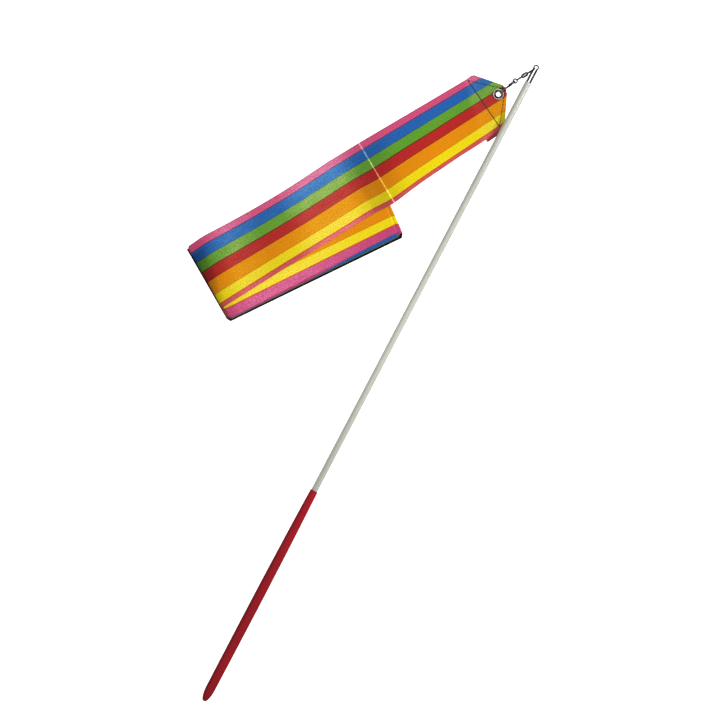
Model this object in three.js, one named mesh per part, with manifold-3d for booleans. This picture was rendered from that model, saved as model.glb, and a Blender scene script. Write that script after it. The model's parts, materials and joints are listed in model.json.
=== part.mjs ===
// Rhythmic gymnastics ribbon wand, laid flat with its ribbon folded up beside it.
// +X runs along the wand from butt to tip, +Y is the ribbon's side, +Z is up.
// The origin is the centre of the small flat at the butt. All lengths are in millimetres.

import * as THREE from 'three';
import { mergeVertices } from 'three/addons/utils/BufferGeometryUtils.js';
import Module from 'manifold-3d';

const wasm = await Module();
wasm.setup();

// --- driving dimensions ---------------------------------------------------

const WAND_LENGTH = 500;
const TABLE_Z = -3.5;
const ROUND_STEPS = 24;
const WIRE_STEPS = 10;

const ROD_RADIUS = 2.25;
const ROD_START = 16;
const SOCKET_RADIUS = 1.85;
const SOCKET_DEPTH = 12;

const GRIP_LENGTH = 170;
const GRIP_TOP_RADIUS = 2.6;
const GRIP_MAX_RADIUS = 3.5;
const GRIP_BUTT_RADIUS = 3.35;
const GRIP_FLAT_RADIUS = 0.8;
const GRIP_NOSE = 14;
const GRIP_MAX_AT = 65;
const GRIP_SWELL_POWER = 2.2;
const GRIP_NOSE_POWER = 1.9;
const GRIP_BORE_RADIUS = 2.32;

const PIN_WIRE = 0.45;
const PIN_LEG_Y = 1.2;
const PIN_HEAD_RADIUS = 1.6;
const PIN_HEAD_X = 511.95;
const PIN_FOOT_X = 490;

const ROD_EYE_X = 509.6;
const RIBBON_EYE = new THREE.Vector3(496.7, 8.8, -1.6);
const ROD_EYE_RADIUS = 1.58;
const ROD_EYE_WIRE = 0.32;
const RIBBON_EYE_RADIUS = 1.45;
const RIBBON_EYE_WIRE = 0.4;
const BARREL_START = 4.4;
const BARREL_LENGTH = 5.4;
const BARREL_RADIUS = 1.6;
const BARREL_MOUTH = 0.56;
const BARREL_WALL = 0.45;
const NECK_RADIUS = 0.44;
const EYE_HEAD_RADIUS = 0.9;
const EYE_HEAD_LENGTH = 0.8;

const EYELET = new THREE.Vector2(482.8, 15.0);
const EYELET_RADIUS = 3.95;
const EYELET_HOLE = 2.2;
const EYELET_TUBE = 2.6;
const EYELET_RIM = 0.65;

const SNAP_WIRE = 0.35;
const SNAP_TOP_Z = -0.1;
const SNAP_FOOT_Z = -3.1;
const SNAP_BEND = 0.7;
const NOSE_SHIFT = 1.7;
const TAIL_SHIFT = 0.5;
const SNAP_HINGE_Z = -1.0;
const SNAP_HINGE_GAP = 0.12;
const CLASP_START = 7.8;
const CLASP_LENGTH = 4.3;
const CLASP_WIDTH = 1.8;
const CLASP_WALL = 0.28;
const CLASP_DEPTH = 0.9;

const HEAD_TOP_Z = -1.95;
const HEAD_LAYER = 0.18;
const HEAD_GAP = 0.04;
const WASHER_THICKNESS = 0.26;
const THREAD_WIDTH = 0.34;
const THREAD_HEIGHT = 0.16;

const LAYER = 0.25;
const LAYER_GAP = 0.15;
const PACK_TOP_Z = -0.6;
const FOLD_INSET = 0.15;
const CREASE_INSET = 0.3;

// Outline of the laid-out ribbon, seen from above.
const HEAD_FAR_CORNER = [486.3, 37.5];
const HEAD_POINT = [490.0, 12.0];
const HEAD_NEAR_CORNER = [471.6, 4.0];
const SEAM_NEAR = [461.9, 3.1];
const SEAM_FAR = [481.9, 40.1];
const CREASE_FAR = [405.4, 87.2];
const CREASE_NEAR = [380.6, 46.6];
const LEFT_FOLD_FAR = [281.6, 160.4];
const LEFT_FOLD_MID = [254.8, 118.2];
const LEFT_FOLD_NEAR = [250.6, 111.7];
const RIGHT_FOLD_NEAR = [359.0, 28.8];
const RIGHT_FOLD_FAR = [390.5, 66.8];
const STITCH_CORNERS = [[481.4, 39.0], [462.6, 3.6], [488.3, 12.3]];

// --- materials --------------------------------------------------------------

function material(color, roughness, metalness) {
  return new THREE.MeshStandardMaterial({ color, roughness, metalness });
}

const fibreglass = () => material(0xd5d7cd, 0.35, 0);
const gripRubber = () => material(0x9c1420, 0.4, 0);
const filler = () => material(0xe9e9e4, 0.7, 0);
const nickel = () => material(0xc9cac8, 0.22, 1);
const thread = () => material(0x1c1a18, 0.85, 0);
const satin = (color) => material(color, 0.42, 0);

// --- shape helpers ------------------------------------------------------------

function toSolid(geometry) {
  const bare = geometry.clone();
  bare.deleteAttribute('normal');
  bare.deleteAttribute('uv');
  const merged = mergeVertices(bare, 1e-4);
  const mesh = new wasm.Mesh({
    numProp: 3,
    vertProperties: new Float32Array(merged.attributes.position.array),
    triVerts: new Uint32Array(merged.index.array),
  });
  return new wasm.Manifold(mesh);
}

function fromSolid(solid) {
  const mesh = solid.getMesh();
  const geometry = new THREE.BufferGeometry();
  geometry.setAttribute('position', new THREE.BufferAttribute(mesh.vertProperties, 3));
  geometry.setIndex(new THREE.BufferAttribute(mesh.triVerts, 1));
  return geometry;
}

// Revolves [radius, x] points about the X axis.
function turned(profile, steps = ROUND_STEPS) {
  const points = profile.map(([radius, x]) => new THREE.Vector2(radius, x));
  return new THREE.LatheGeometry(points, steps).rotateZ(-Math.PI / 2);
}

// Revolves [radius, z] points about a vertical axis.
function turnedUpright(profile, steps = ROUND_STEPS) {
  const points = profile.map(([radius, z]) => new THREE.Vector2(radius, z));
  return new THREE.LatheGeometry(points, steps).rotateX(Math.PI / 2);
}

function rodAlongX(radius, start, end, steps = ROUND_STEPS) {
  return turned([[0, start], [radius, start], [radius, end], [0, end]], steps);
}

function wireCircle(radius) {
  const shape = new THREE.Shape();
  shape.absarc(0, 0, radius, 0, 2 * Math.PI, false);
  return shape;
}

function alongWire(path, radius, steps) {
  return new THREE.ExtrudeGeometry(wireCircle(radius), {
    steps,
    extrudePath: path,
    curveSegments: WIRE_STEPS,
  });
}

// A wire bent round at each inner point of a polyline.
function bentWire(points, bend, radius, steps) {
  const path = new THREE.CurvePath();
  let from = points[0];
  for (let i = 1; i < points.length - 1; i += 1) {
    const corner = points[i];
    const before = corner.clone().add(from.clone().sub(corner).setLength(bend));
    const after = corner.clone().add(points[i + 1].clone().sub(corner).setLength(bend));
    path.add(new THREE.LineCurve3(from, before));
    path.add(new THREE.QuadraticBezierCurve3(before, corner, after));
    from = after;
  }
  path.add(new THREE.LineCurve3(from, points[points.length - 1]));
  return alongWire(path, radius, steps);
}

function flatPlate(outline, bottom, thickness, holes = []) {
  const shape = new THREE.Shape(outline.map(([x, y]) => new THREE.Vector2(x, y)));
  for (const hole of holes) {
    shape.holes.push(hole);
  }
  const plate = new THREE.ExtrudeGeometry(shape, {
    depth: thickness,
    bevelEnabled: false,
    curveSegments: WIRE_STEPS,
  });
  return plate.translate(0, 0, bottom);
}

// A sheet between four [x, y, z] corners, thickness measured straight up and down.
function slopedSheet(corners, thickness) {
  const half = thickness / 2;
  const points = [];
  for (const side of [half, -half]) {
    for (const [x, y, z] of corners) {
      points.push(x, y, z + side);
    }
  }
  const faces = [0, 1, 2, 0, 2, 3, 4, 6, 5, 4, 7, 6];
  for (let i = 0; i < 4; i += 1) {
    const next = (i + 1) % 4;
    faces.push(i, i + 4, next, next, i + 4, next + 4);
  }
  const geometry = new THREE.BufferGeometry();
  geometry.setAttribute('position', new THREE.Float32BufferAttribute(points, 3));
  geometry.setIndex(faces);
  return geometry;
}

function offsetTowards([x, y], [tx, ty], distance) {
  const length = Math.hypot(tx - x, ty - y);
  return [x + ((tx - x) * distance) / length, y + ((ty - y) * distance) / length];
}

// --- wand -------------------------------------------------------------------------

function fibreglassRod() {
  const floor = WAND_LENGTH - SOCKET_DEPTH;
  return turned([
    [0, ROD_START],
    [ROD_RADIUS, ROD_START],
    [ROD_RADIUS, WAND_LENGTH],
    [SOCKET_RADIUS, WAND_LENGTH],
    [SOCKET_RADIUS, floor],
    [0, floor],
  ]);
}

function gripSleeve() {
  const noseSteps = 8;
  const swellSteps = 9;
  const profile = [[0, 0], [GRIP_FLAT_RADIUS, 0]];
  for (let i = 1; i <= noseSteps; i += 1) {
    const t = i / noseSteps;
    const swell = 1 - (1 - t) ** GRIP_NOSE_POWER;
    profile.push([
      GRIP_FLAT_RADIUS + (GRIP_BUTT_RADIUS - GRIP_FLAT_RADIUS) * swell,
      GRIP_NOSE * t,
    ]);
  }
  profile.push([GRIP_MAX_RADIUS, GRIP_MAX_AT]);
  for (let i = 1; i <= swellSteps; i += 1) {
    const t = i / swellSteps;
    const radius = GRIP_TOP_RADIUS + (GRIP_MAX_RADIUS - GRIP_TOP_RADIUS) * (1 - t ** GRIP_SWELL_POWER);
    profile.push([radius, GRIP_MAX_AT + (GRIP_LENGTH - GRIP_MAX_AT) * t]);
  }
  profile.push([GRIP_BORE_RADIUS, GRIP_LENGTH], [GRIP_BORE_RADIUS, ROD_START - 1], [0, ROD_START - 1]);
  return turned(profile);
}

function tipPin() {
  const arcSteps = 8;
  const start = Math.acos(-Math.sqrt(PIN_HEAD_RADIUS ** 2 - PIN_LEG_Y ** 2) / PIN_HEAD_RADIUS);
  const points = [new THREE.Vector3(PIN_FOOT_X, PIN_LEG_Y, 0), new THREE.Vector3(WAND_LENGTH, PIN_LEG_Y, 0)];
  points.push(new THREE.Vector3(PIN_HEAD_X - 2.2, PIN_LEG_Y, 0));
  for (let i = 0; i <= arcSteps; i += 1) {
    const angle = start * (1 - (2 * i) / arcSteps);
    const x = PIN_HEAD_X + PIN_HEAD_RADIUS * Math.cos(angle);
    points.push(new THREE.Vector3(x, PIN_HEAD_RADIUS * Math.sin(angle), 0));
  }
  points.push(new THREE.Vector3(PIN_HEAD_X - 2.2, -PIN_LEG_Y, 0));
  points.push(new THREE.Vector3(WAND_LENGTH, -PIN_LEG_Y, 0), new THREE.Vector3(PIN_FOOT_X, -PIN_LEG_Y, 0));
  return alongWire(new THREE.CatmullRomCurve3(points, false, 'centripetal'), PIN_WIRE, 44);
}

function tipPlug() {
  const plug = toSolid(rodAlongX(SOCKET_RADIUS - 0.05, WAND_LENGTH - SOCKET_DEPTH + 0.2, WAND_LENGTH - 0.1));
  const leg = rodAlongX(PIN_WIRE + 0.06, PIN_FOOT_X - 0.3, WAND_LENGTH + 1, WIRE_STEPS);
  const left = toSolid(leg.clone().translate(0, PIN_LEG_Y, 0));
  const right = toSolid(leg.clone().translate(0, -PIN_LEG_Y, 0));
  return fromSolid(plug.subtract(left).subtract(right));
}

// --- swivel, built along its own +X from the rod-side eye --------------------------

const rodEye = new THREE.Vector3(ROD_EYE_X, PIN_LEG_Y, 0);
const swivelLength = rodEye.distanceTo(RIBBON_EYE);

function swivelGroup() {
  const along = RIBBON_EYE.clone().sub(rodEye).normalize();
  const across = new THREE.Vector3(0, 0, 1).cross(along).normalize();
  const up = along.clone().cross(across);
  const group = new THREE.Group();
  group.setRotationFromMatrix(new THREE.Matrix4().makeBasis(along, across, up));
  group.position.copy(rodEye);
  return group;
}

function eyeWithShank(ring, neckStart, neckEnd, headStart) {
  const neck = toSolid(rodAlongX(NECK_RADIUS, neckStart, neckEnd, WIRE_STEPS));
  const head = toSolid(rodAlongX(EYE_HEAD_RADIUS, headStart, headStart + EYE_HEAD_LENGTH, WIRE_STEPS));
  return fromSolid(toSolid(ring).add(neck).add(head));
}

function swivelRodEye() {
  const ring = new THREE.TorusGeometry(ROD_EYE_RADIUS, ROD_EYE_WIRE, WIRE_STEPS, ROUND_STEPS);
  ring.rotateX(Math.PI / 2);
  const headStart = BARREL_START + 0.65;
  return eyeWithShank(ring, ROD_EYE_RADIUS, headStart + 0.2, headStart);
}

function swivelRibbonEye() {
  const ring = new THREE.TorusGeometry(RIBBON_EYE_RADIUS, RIBBON_EYE_WIRE, WIRE_STEPS, ROUND_STEPS);
  ring.translate(swivelLength, 0, 0);
  const headStart = BARREL_START + BARREL_LENGTH - 0.65 - EYE_HEAD_LENGTH;
  return eyeWithShank(ring, headStart + 0.2, swivelLength - RIBBON_EYE_RADIUS, headStart);
}

function swivelBarrel() {
  const end = BARREL_START + BARREL_LENGTH;
  const shoulder = 0.7;
  return turned([
    [BARREL_MOUTH, BARREL_START],
    [BARREL_RADIUS * 0.62, BARREL_START],
    [BARREL_RADIUS * 0.94, BARREL_START + shoulder],
    [BARREL_RADIUS, BARREL_START + BARREL_LENGTH / 2],
    [BARREL_RADIUS * 0.94, end - shoulder],
    [BARREL_RADIUS * 0.62, end],
    [BARREL_MOUTH, end],
    [BARREL_MOUTH, end - BARREL_WALL],
    [BARREL_RADIUS - BARREL_WALL, end - shoulder],
    [BARREL_RADIUS - BARREL_WALL, BARREL_START + shoulder],
    [BARREL_MOUTH, BARREL_START + BARREL_WALL],
    [BARREL_MOUTH, BARREL_START],
  ]);
}

// --- snap, built along its own +X from the eyelet to the swivel ---------------------

const eyeOnPlan = new THREE.Vector2(RIBBON_EYE.x, RIBBON_EYE.y);
const snapAngle = Math.atan2(eyeOnPlan.y - EYELET.y, eyeOnPlan.x - EYELET.x);
const snapLength = eyeOnPlan.distanceTo(EYELET) - NOSE_SHIFT - TAIL_SHIFT;

function snapGroup() {
  const group = new THREE.Group();
  const noseX = EYELET.x + NOSE_SHIFT * Math.cos(snapAngle);
  const noseY = EYELET.y + NOSE_SHIFT * Math.sin(snapAngle);
  group.position.set(noseX, noseY, 0);
  group.rotation.z = snapAngle;
  return group;
}

function sidePoint(x, z) {
  return new THREE.Vector3(x, 0, z);
}

function snapWire() {
  return bentWire([
    sidePoint(snapLength - 3.6, SNAP_TOP_Z),
    sidePoint(snapLength, SNAP_TOP_Z),
    sidePoint(snapLength, SNAP_FOOT_Z),
    sidePoint(0, SNAP_FOOT_Z),
    sidePoint(0, SNAP_HINGE_Z - SNAP_HINGE_GAP),
  ], SNAP_BEND, SNAP_WIRE, 50);
}

function snapArm() {
  return bentWire([
    sidePoint(0, SNAP_HINGE_Z + SNAP_HINGE_GAP),
    sidePoint(0, SNAP_TOP_Z),
    sidePoint(snapLength - 4.1, SNAP_TOP_Z),
  ], SNAP_BEND, SNAP_WIRE, 22);
}

function snapClasp() {
  const half = CLASP_WIDTH / 2;
  const inner = half - CLASP_WALL;
  const bottom = -SNAP_WIRE - 0.08;
  const outline = [
    [-half, bottom - CLASP_WALL],
    [half, bottom - CLASP_WALL],
    [half, bottom + CLASP_DEPTH],
    [inner, bottom + CLASP_DEPTH],
    [inner, bottom],
    [-inner, bottom],
    [-inner, bottom + CLASP_DEPTH],
    [-half, bottom + CLASP_DEPTH],
  ];
  const channel = flatPlate(outline, 0, CLASP_LENGTH);
  channel.rotateX(Math.PI / 2);
  channel.rotateZ(Math.PI / 2);
  return channel.translate(CLASP_START, 0, SNAP_TOP_Z);
}

// --- ribbon head with its eyelet ------------------------------------------------------

const headOutline = [HEAD_POINT, HEAD_FAR_CORNER, SEAM_FAR, SEAM_NEAR, HEAD_NEAR_CORNER];
const headMiddle = [476.5, 20.0];

function eyeletHole() {
  const hole = new THREE.Path();
  hole.absarc(EYELET.x, EYELET.y, EYELET_TUBE + 0.1, 0, 2 * Math.PI, true);
  return hole;
}

function headLayer(top, shrink) {
  const outline = headOutline.map((corner) => offsetTowards(corner, headMiddle, shrink));
  return flatPlate(outline, top - HEAD_LAYER, HEAD_LAYER, [eyeletHole()]);
}

const backingTop = HEAD_TOP_Z - HEAD_LAYER - HEAD_GAP;
const washerTop = backingTop - HEAD_LAYER - HEAD_GAP;

function eyelet() {
  const seat = HEAD_TOP_Z + 0.03;
  const foot = washerTop - WASHER_THICKNESS;
  const crown = seat + EYELET_RIM;
  return turnedUpright([
    [EYELET_HOLE, foot],
    [EYELET_TUBE, foot],
    [EYELET_TUBE, seat],
    [EYELET_RADIUS, seat],
    [EYELET_RADIUS, seat + 0.2],
    [EYELET_RADIUS - 0.5, crown - 0.08],
    [EYELET_RADIUS - 1.0, crown],
    [EYELET_HOLE + 0.25, crown - 0.12],
    [EYELET_HOLE, crown - 0.45],
    [EYELET_HOLE, foot],
  ]).translate(EYELET.x, EYELET.y, 0);
}

function eyeletWasher() {
  const inner = EYELET_TUBE + 0.06;
  return turnedUpright([
    [inner, washerTop - WASHER_THICKNESS],
    [EYELET_RADIUS - 0.15, washerTop - WASHER_THICKNESS],
    [EYELET_RADIUS, washerTop],
    [inner, washerTop],
    [inner, washerTop - WASHER_THICKNESS],
  ]).translate(EYELET.x, EYELET.y, 0);
}

function headStitching() {
  const centre = [477.4, 18.3];
  const inside = STITCH_CORNERS.map((corner) => offsetTowards(corner, centre, THREAD_WIDTH * 1.6));
  const hole = new THREE.Path(inside.map(([x, y]) => new THREE.Vector2(x, y)));
  return flatPlate(STITCH_CORNERS, HEAD_TOP_Z + 0.03, THREAD_HEIGHT, [hole]);
}

// --- ribbon spans and folded layers -----------------------------------------------------

const frontMiddle = PACK_TOP_Z + 3 * (LAYER + LAYER_GAP) + LAYER_GAP + LAYER / 2;

function ribbonLead() {
  const gap = HEAD_GAP * 4;
  const headMiddleZ = HEAD_TOP_Z - HEAD_LAYER / 2;
  const seamNear = offsetTowards(SEAM_NEAR, CREASE_NEAR, gap);
  const seamFar = offsetTowards(SEAM_FAR, CREASE_FAR, gap);
  const creaseFar = offsetTowards(CREASE_FAR, SEAM_FAR, CREASE_INSET);
  const creaseNear = offsetTowards(CREASE_NEAR, SEAM_NEAR, CREASE_INSET);
  return slopedSheet([
    [...seamNear, headMiddleZ],
    [...seamFar, headMiddleZ],
    [...creaseFar, frontMiddle],
    [...creaseNear, frontMiddle],
  ], LAYER);
}

function ribbonFront() {
  return flatPlate([
    offsetTowards(CREASE_NEAR, LEFT_FOLD_MID, CREASE_INSET),
    offsetTowards(CREASE_FAR, LEFT_FOLD_FAR, CREASE_INSET),
    offsetTowards(LEFT_FOLD_FAR, CREASE_FAR, FOLD_INSET),
    offsetTowards(LEFT_FOLD_MID, CREASE_NEAR, FOLD_INSET),
  ], frontMiddle - LAYER / 2, LAYER);
}

function foldedOutline() {
  return [
    offsetTowards(RIGHT_FOLD_NEAR, LEFT_FOLD_NEAR, FOLD_INSET),
    offsetTowards(RIGHT_FOLD_FAR, LEFT_FOLD_FAR, FOLD_INSET),
    offsetTowards(LEFT_FOLD_FAR, RIGHT_FOLD_FAR, FOLD_INSET),
    offsetTowards(LEFT_FOLD_NEAR, RIGHT_FOLD_NEAR, FOLD_INSET),
  ];
}

// Folded layers count down from the front span, which is layer 1.
function foldedLayer(number) {
  const top = frontMiddle + LAYER / 2 - (number - 1) * (LAYER + LAYER_GAP);
  return flatPlate(foldedOutline(), top - LAYER, LAYER);
}

function ribbonPack() {
  return flatPlate(foldedOutline(), TABLE_Z, PACK_TOP_Z - TABLE_Z);
}

// --- assembly -------------------------------------------------------------------------------

function piece(name, geometry, finish) {
  const mesh = new THREE.Mesh(geometry, finish);
  mesh.name = name;
  return mesh;
}

const wand = new THREE.Group();
wand.add(piece('fibreglass_rod', fibreglassRod(), fibreglass()));
wand.add(piece('grip_sleeve', gripSleeve(), gripRubber()));
wand.add(piece('tip_pin', tipPin(), nickel()));
wand.add(piece('tip_plug', tipPlug(), filler()));

const swivel = swivelGroup();
swivel.add(piece('swivel_rod_eye', swivelRodEye(), nickel()));
swivel.add(piece('swivel_barrel', swivelBarrel(), nickel()));
swivel.add(piece('swivel_ribbon_eye', swivelRibbonEye(), nickel()));

const snap = snapGroup();
snap.add(piece('snap_wire', snapWire(), nickel()));
snap.add(piece('snap_arm', snapArm(), nickel()));
snap.add(piece('snap_clasp', snapClasp(), nickel()));

const head = new THREE.Group();
head.add(piece('ribbon_head', headLayer(HEAD_TOP_Z, 0), satin(0xe8852a)));
head.add(piece('ribbon_head_backing', headLayer(backingTop, 0.5), satin(0xd0456e)));
head.add(piece('eyelet', eyelet(), nickel()));
head.add(piece('eyelet_washer', eyeletWasher(), nickel()));
head.add(piece('head_stitching', headStitching(), thread()));

const ribbon = new THREE.Group();
ribbon.add(piece('ribbon_lead', ribbonLead(), satin(0xd02f2f)));
ribbon.add(piece('ribbon_front', ribbonFront(), satin(0x2b66b4)));
ribbon.add(piece('ribbon_layer_2', foldedLayer(2), satin(0x6fae38)));
ribbon.add(piece('ribbon_layer_3', foldedLayer(3), satin(0xe8b020)));
ribbon.add(piece('ribbon_layer_4', foldedLayer(4), satin(0xd0456e)));
ribbon.add(piece('ribbon_pack', ribbonPack(), satin(0xe7d21a)));

const assembly = new THREE.Group();
assembly.add(wand, swivel, snap, head, ribbon);

export default assembly;
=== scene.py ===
"""Looks of the rhythmic ribbon wand: smooth wand and tackle, and one long striped satin ribbon."""

import json
import math
from contextlib import contextmanager

import bmesh
import bpy
from mathutils import Matrix, Vector


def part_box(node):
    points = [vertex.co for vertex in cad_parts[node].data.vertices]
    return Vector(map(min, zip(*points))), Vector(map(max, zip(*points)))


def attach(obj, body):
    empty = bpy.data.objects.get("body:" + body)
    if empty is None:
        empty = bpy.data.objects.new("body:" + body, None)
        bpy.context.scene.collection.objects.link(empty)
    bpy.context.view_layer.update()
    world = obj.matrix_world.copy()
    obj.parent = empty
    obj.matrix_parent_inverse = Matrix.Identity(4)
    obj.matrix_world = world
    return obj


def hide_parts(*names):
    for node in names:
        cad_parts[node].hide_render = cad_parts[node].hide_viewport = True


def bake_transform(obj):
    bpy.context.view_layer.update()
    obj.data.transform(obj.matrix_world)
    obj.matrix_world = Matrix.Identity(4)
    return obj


MM = 0.001
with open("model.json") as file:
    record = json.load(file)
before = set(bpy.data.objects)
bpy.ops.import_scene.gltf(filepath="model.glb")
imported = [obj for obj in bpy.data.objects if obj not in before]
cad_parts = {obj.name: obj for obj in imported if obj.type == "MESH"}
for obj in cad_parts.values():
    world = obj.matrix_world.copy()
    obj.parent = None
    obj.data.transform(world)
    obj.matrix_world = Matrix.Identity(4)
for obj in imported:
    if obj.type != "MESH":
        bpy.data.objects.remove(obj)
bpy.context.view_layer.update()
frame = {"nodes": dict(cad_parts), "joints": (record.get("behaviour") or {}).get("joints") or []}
joints = {joint["name"]: joint for joint in frame["joints"]}

# --- dimensions: lengths in millimetres, shares and factors without a unit ---

ROUND_STEPS = 48

# Rod, grip and pin.
WAND_LENGTH = 500.0
GRIP_LENGTH = 170.0
ROD_EDGE = 0.25
ROD_PAINT = 0.08
ROD_SOCKET = 1.85
SOCKET_DEPTH = 6.0
PLUG_DEPTH = 5.0
GRIP_BORE_DEPTH = 3.0
GRIP_SKIN = 0.15
GRIP_LIP = 0.35
GRIP_NOSE = 12.0
GRIP_BUTT_FLAT = 0.8
GRIP_BUTT = 3.35
GRIP_TOP = 2.62
GRIP_SWELL_AT = 65.0
PIN_FOOT = 490.0
PIN_LEG_OFFSET = 1.2
PIN_LEG_WIRE = 0.78
PIN_HEAD_WIRE = 0.52
PIN_NECK = 2.5
PIN_FLATNESS = 0.45

# Swivel, snap and eyelet.
EYE_SETBACK = 0.45
ROD_RING = 1.58
ROD_RING_WIRE = 0.42
RIBBON_RING = 1.45
RIBBON_RING_WIRE = 0.5
WIRE_DOME = 0.4
NECK_STRAND = 0.38
NECK_TWIST = 2.2
NECK_OVERLAP = 0.3
BARREL_START = 4.4
BARREL_END = 9.8
BARREL_WIDE = 1.6
BARREL_BORE = 0.66
BARREL_BORE_DEPTH = 0.5
BARREL_END_SHARE = 0.62
BARREL_EDGE = 0.15
SNAP_WIRE = 0.6
SNAP_BEND = 0.7
SNAP_TOP = -0.1
SNAP_FOOT = -3.1
SNAP_WIRE_END = 3.6
SNAP_ARM_END = 4.1
CLASP_START = 7.8
CLASP_LENGTH = 4.3
CLASP_HALF = 0.86
CLASP_DEPTH = 0.95
CLASP_FLOOR = -0.25
CLASP_SHEET = 0.22
EYELET_TUBE = 2.6
EYELET_HOLE = 2.2
EYELET_THROAT = 1.75
CLOTH_HOLE = 2.75

# Ribbon.
CLOTH = 0.13
ALONG_UNIT = 100.0
PACK_LAYERS = 23
FOLD_STEPS = 8
RIDGE_HEIGHT = 0.55
RIDGE_REACH = 7.0
SEAM_ALLOWANCE = 13.0
FLAP_REACH = 32.0
FLAP_GAP = 0.3
FLAP_INSET = 0.35
FLAP_OVERHANG = 3.8
OVERRUN = 16.0
CORNER_BEND = 1.5
RECESS_REACH = 9.0
LAYER_INSETS = {2: (2.3, 4.9), 3: (1.8, 2.4), 4: (1.1, 1.5)}
BLUE_EDGE_LAYER = 3
BLUE_EDGE_DEPTH = 2.9
BLUE_EDGE_SHARE = 0.965
BLUE_EDGE_SPREAD = 94.0
EDGE_BAND = 3.3
FOLD_RISE = 1.0
STACK_DROP = 2.5
TURN_SLACK = 1.4
TURN_FLARE = 1.6
TURN_BULGE = 0.22
LEAD_OVERHANG = 1.6
STITCH_ARCH = 0.75
STITCH_SINK = 0.03
CREASE_OVERHANG = 2.3
NEAR_FULLNESS = 0.8
FRONT_HOLLOW = 1.3
FRONT_BULGE = 0.9
HEAD_MARGIN = 0.6
LEAD_CURL = 4.0
PACK_CLOTH = 0.09
PACK_BULGE = 1.25
PACK_TUCK = -0.5
PACK_STRAY_LEFT = 0.15
PACK_STRAY_RIGHT = 0.4

# Floor and camera, in metres; only the sensor is in millimetres.
FLOOR_DROP = 0.42
FLOOR_SIZE = 30.0
CAMERA_HEIGHT = 2.0
CAMERA_CENTRE = (0.2682, 0.0149)
CAMERA_UP = (0.88556, 0.46455)
FRAME_WIDTH = 0.5147
SENSOR = 36.0


# --- node helpers ---


class Nodes:
    """Short calls for building a node tree."""

    def __init__(self, tree):
        self.tree = tree

    def new(self, kind, **settings):
        node = self.tree.nodes.new(kind)
        for key, value in settings.items():
            setattr(node, key, value)
        return node

    def link(self, source, target):
        self.tree.links.new(source, target)

    def feed(self, socket, value):
        if isinstance(value, bpy.types.NodeSocket):
            self.link(value, socket)
        else:
            socket.default_value = value

    def math(self, operation, first, second=0.0, third=0.0):
        node = self.new("ShaderNodeMath", operation=operation)
        self.feed(node.inputs[0], first)
        self.feed(node.inputs[1], second)
        self.feed(node.inputs[2], third)
        return node.outputs[0]

    def split(self, vector):
        parts = self.new("ShaderNodeSeparateXYZ")
        self.link(vector, parts.inputs[0])
        return parts.outputs

    def stretch(self, vector, scale):
        node = self.new("ShaderNodeMapping")
        node.inputs["Scale"].default_value = scale
        self.link(vector, node.inputs["Vector"])
        return node.outputs[0]

    def paint(self, shader, **inputs):
        """Sets or links a shader's inputs, their names written with underscores."""
        for key, value in inputs.items():
            self.feed(shader.inputs[key.replace("_", " ")], value)

    def times(self, first, second):
        return self.math("MULTIPLY", first, second)

    def times_add(self, first, second, third):
        return self.math("MULTIPLY_ADD", first, second, third)

    def mix(self, factor, first, second, blend="MIX"):
        node = self.new("ShaderNodeMix", data_type="RGBA", blend_type=blend)
        self.feed(node.inputs[0], factor)
        self.feed(node.inputs[6], first)
        self.feed(node.inputs[7], second)
        return node.outputs[2]

    def tint(self, first, second):
        return self.mix(1.0, first, second, "MULTIPLY")

    def ramp(self, value, stops, interpolation="LINEAR"):
        node = self.new("ShaderNodeValToRGB")
        ramp = node.color_ramp
        ramp.interpolation = interpolation
        while len(ramp.elements) < len(stops):
            ramp.elements.new(0.5)
        for element, (position, colour) in zip(ramp.elements, stops):
            element.position = position
            element.color = colour
        self.feed(node.inputs[0], value)
        return node.outputs[0]

    def noise(self, vector, scale, detail=2.0):
        node = self.new("ShaderNodeTexNoise")
        self.feed(node.inputs["Scale"], scale)
        self.feed(node.inputs["Detail"], detail)
        self.link(vector, node.inputs["Vector"])
        return node.outputs["Fac"]

    def bump(self, height, strength, distance):
        node = self.new("ShaderNodeBump")
        self.feed(node.inputs["Strength"], strength)
        self.feed(node.inputs["Distance"], distance)
        self.feed(node.inputs["Height"], height)
        return node.outputs["Normal"]


def linear(red, green, blue):
    """A colour given as 0 to 255 display values, in the scene's linear light."""

    def channel(value):
        share = value / 255.0
        return share / 12.92 if share <= 0.04045 else ((share + 0.055) / 1.055) ** 2.4

    return (channel(red), channel(green), channel(blue), 1.0)


def grey(value):
    return (value, value, value, 1.0)


def greys(stops):
    return [(at, grey(value)) for at, value in stops]


def surface(name, **settings):
    material = bpy.data.materials.new(name)
    material.use_nodes = True
    nodes = Nodes(material.node_tree)
    shader = material.node_tree.nodes["Principled BSDF"]
    nodes.paint(shader, **settings)
    return material, nodes, shader


def object_place(nodes):
    return nodes.new("ShaderNodeTexCoord").outputs["Object"]


def facing_ramp(nodes, blend, stops):
    """A shade that changes from where the surface faces the eye to its outline."""
    facing = nodes.new("ShaderNodeLayerWeight")
    facing.inputs["Blend"].default_value = blend
    return nodes.ramp(facing.outputs["Facing"], greys(stops))


def along_ramp(nodes, place, length, stops):
    """A shade that changes along X over a length in millimetres."""
    return nodes.ramp(nodes.math("DIVIDE", nodes.split(place)[0], length * MM), greys(stops))


# --- materials ---

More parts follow.
